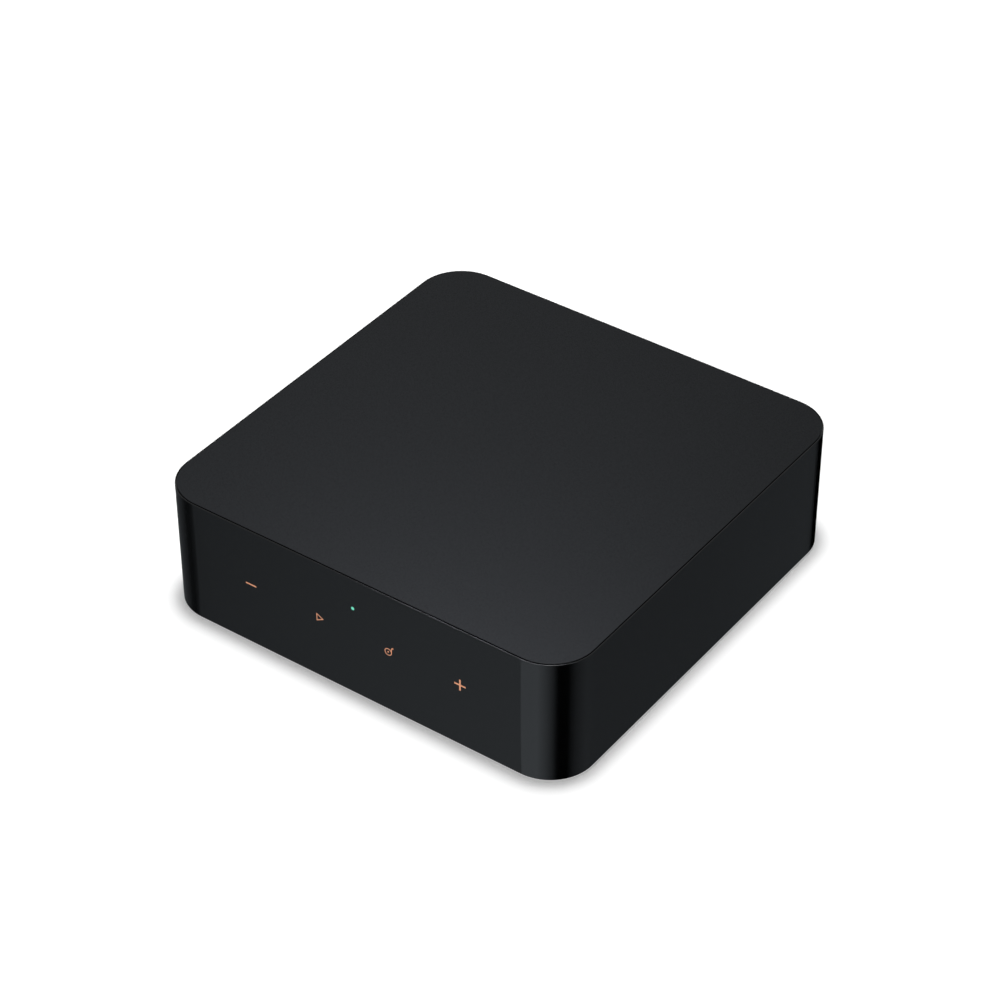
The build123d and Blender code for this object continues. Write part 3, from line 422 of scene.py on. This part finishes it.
front_mark(
    "mark_minus", [([(-minus_half, 0), (minus_half, 0)], minus_width, False)],
    (-1.5 * mark_pitch - 0.2 * mm, mark_height + 0.2 * mm), copper_print_painted_glow,
)
front_mark(
    "mark_play", [([(-0.9, 1.15), (-0.9, -1.15), (1.22, 0.0)], play_width, True)],
    (-0.5 * mark_pitch + 0.1 * mm, mark_height + 0.1 * mm), copper_print_painted_glow,
)
note_ring = arc(ring_radius, 0, 360, 32, (0, ring_drop))[:-1]
note_dot = arc(dot_radius, 0, 360, 12, (0, ring_drop))[:-1]
note_tip = [(ring_radius + 0.35, 1.37), (ring_radius + 0.65, 1.56)]
note_stem = [(ring_radius, ring_drop), (ring_radius, 0.6)]
note_stem += arc(0.8, 180, 105, 6, (ring_radius + 0.8, 0.75))
front_mark(
    "mark_source",
    [
        (note_ring, note_width, True),
        (note_dot, dot_width, True),
        (note_stem, stem_width, False),
        (note_tip, tip_width, False),
    ],
    (0.5 * mark_pitch - 0.1 * mm, mark_height + 0.15 * mm), copper_print_painted_glow,
)
half_width = bar_width / 2
front_mark(
    "mark_plus",
    [
        ([(-bar_half, 0), (bar_half, 0)], bar_width, False),
        ([(0, half_width), (0, bar_half)], bar_width, False),
        ([(0, -bar_half), (0, -half_width)], bar_width, False),
    ],
    (1.5 * mark_pitch + 0.1 * mm, mark_height + 0.2 * mm), copper_print_painted_glow,
)


# Floor: a white sheet that the object shades round its foot; on top of the lamps' shadow, light and
# shade are painted into the floor's own light near the walls
half_side = -cad_low.y
corner = 14 * mm
straight = half_side - corner
# Painted light and shade round the foot: these levels of the floor's own light make it lighter in the
# gap under the body, darker within a few millimetres of the walls and lighter to the left of the body.
painted_gap_light = 0.34
painted_shade_level = 0.085
painted_light_left = 0.07
floor_lift = 0.17
gap_steps = (-0.5 * mm, 0.3 * mm)
near_steps = (1.0 * mm, 3.5 * mm)
far_range = (0.12, 0.5)
floor_reach = 6.0


def painted_light_and_shade_near_walls(nodes, links, place):
    """Painted light and shade in the floor's own light, by the distance to the outline: painted light
    in the gap under the body, painted shade within a few millimetres of the walls, and more painted
    light at the left.
    """
    past = changed(nodes, links, "ABSOLUTE", place)
    past = changed(nodes, links, "SUBTRACT", past, (straight, straight, 0))
    distance = length(nodes, links, changed(nodes, links, "MAXIMUM", past, (0, 0, 0)))
    gap_start, gap_end = (corner + step for step in gap_steps)
    near_start, near_end = (corner + step for step in near_steps)
    gap = ranged(nodes, links, distance, gap_start, gap_end, painted_gap_light, 0.0)
    near = ranged(nodes, links, distance, near_start, near_end, painted_shade_level, floor_lift)
    apart = nodes.new("ShaderNodeSeparateXYZ")
    links.new(place, apart.inputs[0])
    left = ranged(nodes, links, apart.outputs["X"], -straight, -half_side, 0.0, painted_light_left)
    both = combined(nodes, links, "ADD", gap, near)
    return combined(nodes, links, "ADD", both, left)


def make_floor():
    mesh = bpy.data.meshes.new("floor")
    signs = ((-1, -1), (1, -1), (1, 1), (-1, 1))
    mesh.from_pydata([(x * floor_reach, y * floor_reach, 0) for x, y in signs], [], [(0, 1, 2, 3)])
    floor = bpy.data.objects.new("floor", mesh)
    bpy.context.scene.collection.objects.link(floor)
    material, shader, nodes, links, place = material_nodes("floor_white")
    paper = noise(nodes, links, place, 40)
    white = blend(nodes, links, paper, (0.86, 0.86, 0.86), (0.88, 0.88, 0.88))
    links.new(white, shader.inputs["Base Color"])
    shader.inputs["Roughness"].default_value = 0.9
    shader.inputs["Specular IOR Level"].default_value = 0.1
    lift = nodes.new("ShaderNodeEmission")
    far = length(nodes, links, place)
    rise = ranged(nodes, links, far, *far_range, 0.0, 1.0 - floor_lift)
    level = combined(nodes, links, "ADD", rise, painted_light_and_shade_near_walls(nodes, links, place))
    links.new(level, lift.inputs["Strength"])
    add = nodes.new("ShaderNodeAddShader")
    plain = nodes.new("ShaderNodeMixShader")
    output = nodes["Material Output"]
    links.new(shader.outputs[0], add.inputs[0])
    links.new(lift.outputs[0], add.inputs[1])
    links.new(seen_in_picture(nodes, links), plain.inputs["Fac"])
    links.new(shader.outputs[0], plain.inputs[1])
    links.new(add.outputs[0], plain.inputs[2])
    links.new(plain.outputs[0], output.inputs["Surface"])
    mesh.materials.append(material)


make_floor()


# World: soft grey fill, which the camera and mirrors see as white
fill_level = 0.2


def make_world():
    world = bpy.data.worlds.new("studio")
    bpy.context.scene.world = world
    world.use_nodes = True
    nodes, links = world.node_tree.nodes, world.node_tree.links
    nodes.clear()
    fill = nodes.new("ShaderNodeBackground")
    fill.inputs["Strength"].default_value = fill_level
    white = nodes.new("ShaderNodeBackground")
    white.inputs["Color"].default_value = (1, 1, 1, 1)
    white.inputs["Strength"].default_value = 1.0
    mix = nodes.new("ShaderNodeMixShader")
    output = nodes.new("ShaderNodeOutputWorld")
    links.new(seen_in_picture(nodes, links), mix.inputs["Fac"])
    links.new(fill.outputs[0], mix.inputs[1])
    links.new(white.outputs[0], mix.inputs[2])
    links.new(mix.outputs[0], output.inputs["Surface"])


make_world()


# Lamps: a soft disc overhead, and one behind the left corner that only the sheen shows
def lamp(name, place, aim, size, power, colour):
    data = bpy.data.lights.new(name, "AREA")
    data.shape = "DISK"
    data.size = size
    data.energy = power
    data.color = colour
    thing = bpy.data.objects.new(name, data)
    bpy.context.scene.collection.objects.link(thing)
    thing.location = place
    thing.rotation_mode = "QUATERNION"
    thing.rotation_quaternion = (Vector(aim) - Vector(place)).to_track_quat("-Z", "Y")
    return thing


lamp("overhead", (0.03, 0.0, 2.0), (0, 0, 0), 0.48, 37.0, (1, 1, 1))
sheen = lamp("sheen", (-0.9, 1.1, 1.95), (0, 0, 0.04), 0.6, 40.0, (0.94, 0.99, 1.12))
sheen.visible_diffuse = False


# Cards on the floor round the foot, seen only by mirrors: the light and dark stripes on the gloss
# walls are reflections of the tones painted on these cards.
# The spokes of the toned card follow the main camera's sight lines, mirrored by the walls, and
# its tones were fitted to that one view.
# A place on the outline is 0 to 1 along the front wall, 1 to 2 round the near corner, 2 to 3
# along the right wall; -1 to 0 is the left corner and 3 to 4 the back right one.
plain_tone = 0.3
card_tint = (0.91, 1.0, 1.08)
tone_reach = 75 * mm
fade_reach = 180 * mm
plain_reach = 600 * mm
plain_steps = 12
toned_steps = 64
toned_span = (-39, 220)
plain_level = 0.05 * mm
toned_level = 0.1 * mm
card_tones = [
    (-0.62, 0.3), (-0.53, 0.09), (-0.25, 0.09), (-0.19, 0.08), (-0.15, 0.045), (-0.08, 0.05),
    (-0.05, 0.1), (-0.02, 0.24), (0.0, 0.3), (0.05, 0.33), (0.5, 0.45), (1.0, 0.56), (1.02, 0.58),
    (1.03, 1.05), (1.11, 1.2), (1.22, 1.38), (1.26, 1.22), (1.32, 0.96), (1.39, 0.54), (1.45, 0.12),
    (1.48, 0.0), (1.59, 0.0), (1.63, 0.09), (1.70, 0.24), (1.77, 0.29), (1.85, 0.29), (1.93, 0.21),
    (2.0, 0.145), (2.5, 0.14), (2.8, 0.145), (2.97, 0.15), (3.0, 0.14), (3.04, 0.06), (3.07, 0.0),
    (3.4, 0.0),
]


def tone_at(place):
    """How bright the cards are beside a place on the outline."""
    for (start, low), (end, high) in zip(card_tones, card_tones[1:]):
        if start <= place <= end:
            return low + (high - low) * (place - start) / (end - start)
    return card_tones[0][1] if place < 0 else card_tones[-1][1]


def outline_point(place):
    """The point of the outline at a place, and the way that the wall faces there."""
    turn, part = divmod(place, 2)
    facing = turn * 90 + 90 * max(part - 1, 0)
    along = 2 * straight * min(part, 1) - straight
    base = radians(turn * 90)
    middle = Vector((straight if part > 1 else along, -straight))
    middle = Vector((
        middle.x * cos(base) - middle.y * sin(base),
        middle.x * sin(base) + middle.y * cos(base),
    ))
    facing = radians(facing)
    return middle + corner * Vector((sin(facing), -cos(facing))), facing


def card(name, rows, level):
    """A ruled card just above the floor; each row has its points and their tones."""
    points, tones, faces = [], [], []
    width = len(rows[0])
    for row in rows:
        for place, tone in row:
            points.append((place.x, place.y, level))
            tones.append(tone)
    for i in range(len(rows) - 1):
        for j in range(width - 1):
            a = i * width + j
            faces.append((a, a + 1, a + 1 + width, a + width))
    mesh = bpy.data.meshes.new(name)
    mesh.from_pydata(points, [], faces)
    layer = mesh.color_attributes.new("tone", "FLOAT_COLOR", "POINT")
    for datum, tone in zip(layer.data, tones):
        datum.color = (*(tone * tint for tint in card_tint), 1)
    thing = bpy.data.objects.new(name, mesh)
    bpy.context.scene.collection.objects.link(thing)
    material = bpy.data.materials.new(name)
    material.use_nodes = True
    material.cycles.emission_sampling = "NONE"
    nodes, links = material.node_tree.nodes, material.node_tree.links
    nodes.clear()
    painted = nodes.new("ShaderNodeAttribute")
    painted.attribute_name = "tone"
    light = nodes.new("ShaderNodeEmission")
    output = nodes.new("ShaderNodeOutputMaterial")
    links.new(painted.outputs["Color"], light.inputs["Color"])
    links.new(light.outputs[0], output.inputs["Surface"])
    mesh.materials.append(material)
    thing.visible_camera = False
    thing.visible_diffuse = False
    thing.visible_transmission = False
    thing.visible_shadow = False


def make_cards():
    plain = []
    for i in range(8 * plain_steps + 1):
        foot, facing = outline_point(i / plain_steps)
        out = Vector((sin(facing), -cos(facing)))
        plain.append([(foot, plain_tone), (foot + out * plain_reach, plain_tone)])
    card("plain_card", plain, plain_level)
    toned = []
    for i in range(*toned_span):
        place = i / toned_steps
        foot, facing = outline_point(place)
        seen_from = atan2(camera.location.x - foot.x, foot.y - camera.location.y)
        away = 2 * facing - seen_from
        out = Vector((sin(away), -cos(away)))
        tone = tone_at(place)
        edge, end = foot + out * tone_reach, foot + out * fade_reach
        toned.append([(foot, tone), (edge, tone), (end, plain_tone)])
    card("toned_card", toned, toned_level)


make_cards()
